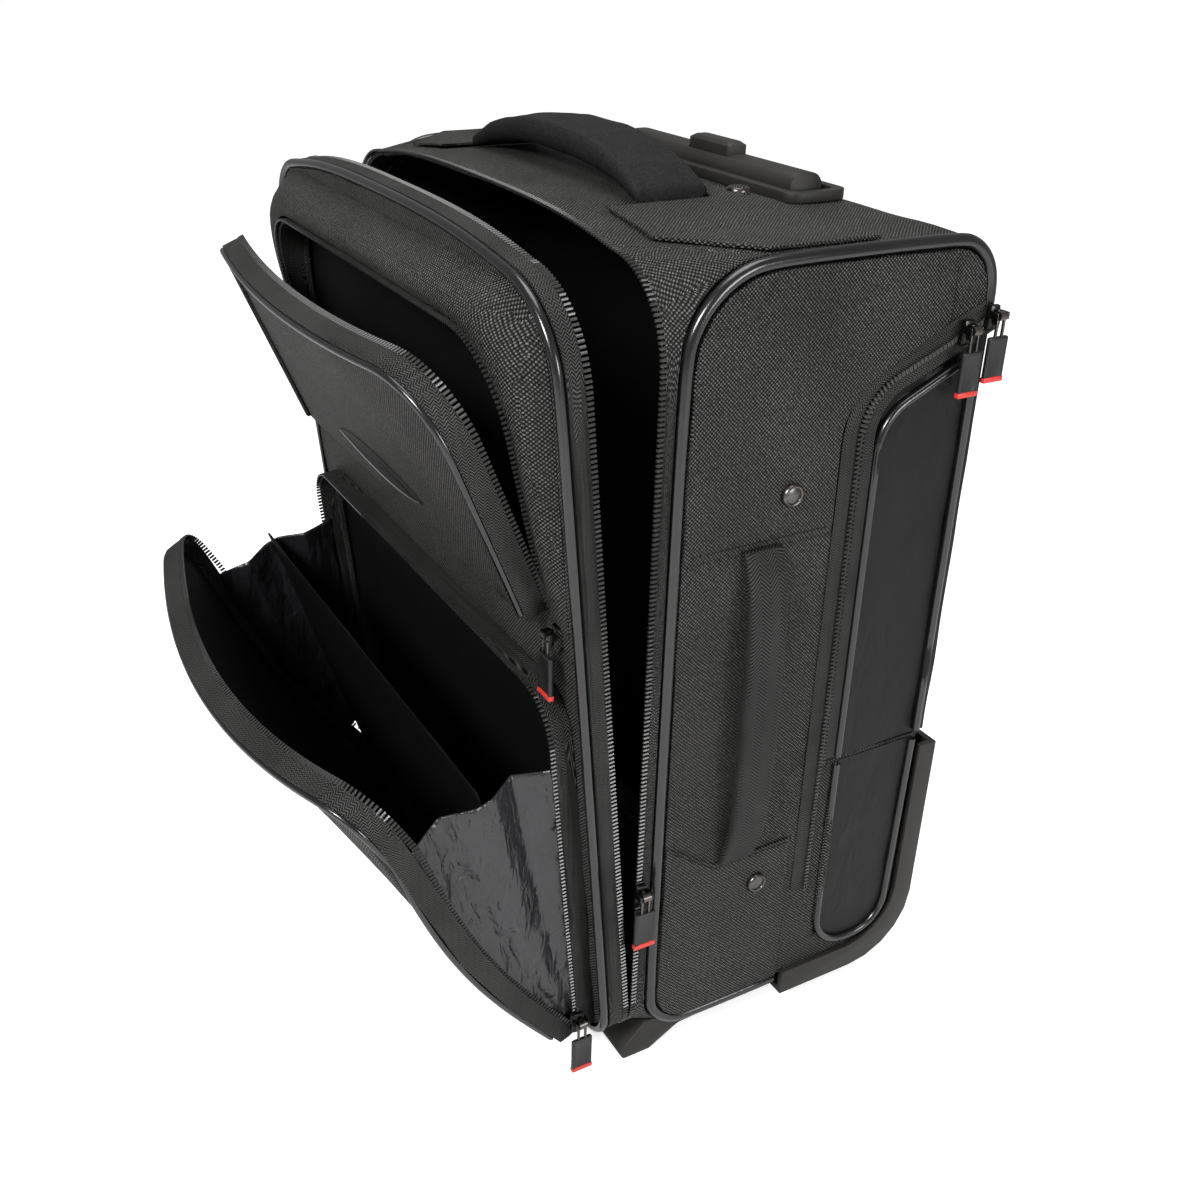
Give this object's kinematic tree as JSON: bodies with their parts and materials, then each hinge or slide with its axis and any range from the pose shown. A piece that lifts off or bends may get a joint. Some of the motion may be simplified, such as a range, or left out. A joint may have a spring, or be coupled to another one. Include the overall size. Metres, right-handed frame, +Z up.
{
  "type": "pilot rolling flight case",
  "caption": "Upright soft-sided rolling pilot case: opening lid with two pockets, rear door, telescopic trolley handle, carry handles, wheels and front feet.",
  "frame": {"origin": "on the floor, under the middle of the case as it stands, pulls and side handle included", "axes": "+Z up, -Y towards the lid and its pockets, +X towards the side with the carry handle"},
  "size_m": [0.4202, 0.4044, 0.5308],
  "materials": {
    "weave": "black ballistic nylon weave, matt",
    "satin": "smooth black nylon with a low sheen",
    "lining": "black lining over a stiffening board",
    "piping": "glossy black piping",
    "zip": "black coil zip",
    "plastic": "fine-grained dark grey plastic",
    "rubber": "black soft rubber",
    "tyre": "black wheel tread",
    "steel": "dark anodised tube",
    "axle": "plain steel pin",
    "gunmetal": "dark nickel plating"
  },
  "bodies": {
    "case": {"side_panel_right": "weave", "side_panel_left": "weave", "front_strip_right": "weave", "front_strip_left": "weave", "top_panel": "weave", "bottom_panel": "weave", "rear_lower_panel": "weave", "main_back_wall": "lining", "side_piping_right": "piping", "side_piping_left": "piping", "main_zip": "zip", "rear_zip": "zip", "side_upper_patch": "weave", "side_lower_patch": "weave", "side_rivet_upper": "gunmetal", "side_rivet_lower": "gunmetal", "top_yoke_right": "weave", "top_yoke_left": "weave", "top_handle": "weave", "side_handle": "weave", "outer_tube_right": "steel", "outer_tube_left": "steel", "trolley_base": "plastic", "trolley_bezel": "plastic", "corner_guard_right": "plastic", "corner_guard_left": "plastic", "wheel_right_axle": "axle", "wheel_left_axle": "axle", "front_foot_right": "plastic", "front_foot_left": "plastic"},
    "rear_door": {"rear_door": "satin"},
    "lid": {"lid_band": "weave", "lid_board": "lining", "lid_piping": "piping", "lid_zip": "zip", "lid_hinge_welt": "piping", "lid_front_panel": "weave", "upper_pocket_rim": "weave", "lower_pocket_rim": "weave", "gusset_right": "satin", "gusset_left": "satin"},
    "upper_pocket": {"upper_pocket_panel": "weave", "badge_plate": "gunmetal"},
    "lower_flap": {"lower_flap": "weave"},
    "divider": {"divider": "lining"},
    "trolley_middle": {"middle_tube_right": "steel", "middle_tube_left": "steel"},
    "trolley_top": {"inner_tube_right": "steel", "inner_tube_left": "steel", "trolley_grip": "plastic"},
    "release_button": {"release_button": "plastic"},
    "wheel_right": {"wheel_right_tyre": "tyre", "wheel_right_hub": "plastic"},
    "wheel_left": {"wheel_left_tyre": "tyre", "wheel_left_hub": "plastic"},
    "main_pull": {"main_pull": "rubber"},
    "rear_side_pull": {"rear_side_pull": "rubber"},
    "rear_corner_pull": {"rear_corner_pull": "rubber"},
    "upper_pocket_pull": {"upper_pocket_pull": "rubber"},
    "lower_pocket_pull": {"lower_pocket_pull": "rubber"}
  },
  "joints": [
    {"name": "lid_hinge", "type": "hinge", "parent": "case", "child": "lid", "pos_m": [-0.0062, -0.01247, 0.028], "axis": [1, 0, 0], "range_deg": [-5, 75]},
    {"name": "upper_pocket_hinge", "type": "hinge", "parent": "lid", "child": "upper_pocket", "pos_m": [-0.0062, -0.05479, 0.31791], "axis": [1, 0, 0], "range_deg": [-9, 60]},
    {"name": "lower_flap_hinge", "type": "hinge", "parent": "lid", "child": "lower_flap", "pos_m": [-0.0062, -0.04081, 0.03305], "axis": [1, 0, 0], "range_deg": [-24, 0], "deforming": ["gusset_right", "gusset_left"]},
    {"name": "divider_hinge", "type": "hinge", "parent": "lid", "child": "divider", "pos_m": [-0.0062, -0.04081, 0.03305], "axis": [1, 0, 0], "range_deg": [-12, 0]},
    {"name": "rear_door_hinge", "type": "hinge", "parent": "case", "child": "rear_door", "pos_m": [-0.0062, 0.19473, 0.19], "axis": [-1, 0, 0], "range_deg": [0, 90]},
    {"name": "trolley_lower_slide", "type": "slide", "parent": "case", "child": "trolley_middle", "axis": [0, 0, 1], "range_m": [0, 0.25]},
    {"name": "trolley_upper_slide", "type": "slide", "parent": "trolley_middle", "child": "trolley_top", "axis": [0, 0, 1], "range_m": [0, 0.25]},
    {"name": "button_press", "type": "slide", "parent": "trolley_top", "child": "release_button", "axis": [0, 0, -1], "range_m": [0, 0.005], "stiffness_N_per_m": 500, "springref_m": -0.001},
    {"name": "wheel_right_spin", "type": "hinge", "parent": "case", "child": "wheel_right", "pos_m": [0.1598, 0.15873, 0.032], "axis": [1, 0, 0], "continuous": true},
    {"name": "wheel_left_spin", "type": "hinge", "parent": "case", "child": "wheel_left", "pos_m": [-0.1722, 0.15873, 0.032], "axis": [1, 0, 0], "continuous": true},
    {"name": "main_pull_swing", "type": "hinge", "parent": "case", "child": "main_pull", "pos_m": [0.2021, -0.01177, 0.143], "axis": [0, -1, 0], "range_deg": [-5, 120]},
    {"name": "rear_side_pull_swing", "type": "hinge", "parent": "case", "child": "rear_side_pull", "pos_m": [0.2041, 0.17273, 0.4475], "axis": [0, -1, 0], "range_deg": [-5, 120]},
    {"name": "rear_corner_pull_swing", "type": "hinge", "parent": "case", "child": "rear_corner_pull", "pos_m": [0.2041, 0.18973, 0.4535], "axis": [0, -1, 0], "range_deg": [-5, 120]},
    {"name": "upper_pocket_pull_swing", "type": "hinge", "parent": "lid", "child": "upper_pocket_pull", "pos_m": [0.1718, -0.06072, 0.30987], "axis": [-1, 0, 0], "range_deg": [-5, 120]},
    {"name": "lower_pocket_pull_swing", "type": "hinge", "parent": "lid", "child": "lower_pocket_pull", "pos_m": [0.1875, -0.04278, 0.04743], "axis": [0, -1, 0], "range_deg": [-5, 120]}
  ],
  "couplings": [
    {"joint": "divider_hinge", "follows": "lower_flap_hinge", "ratio": 0.5}
  ]
}
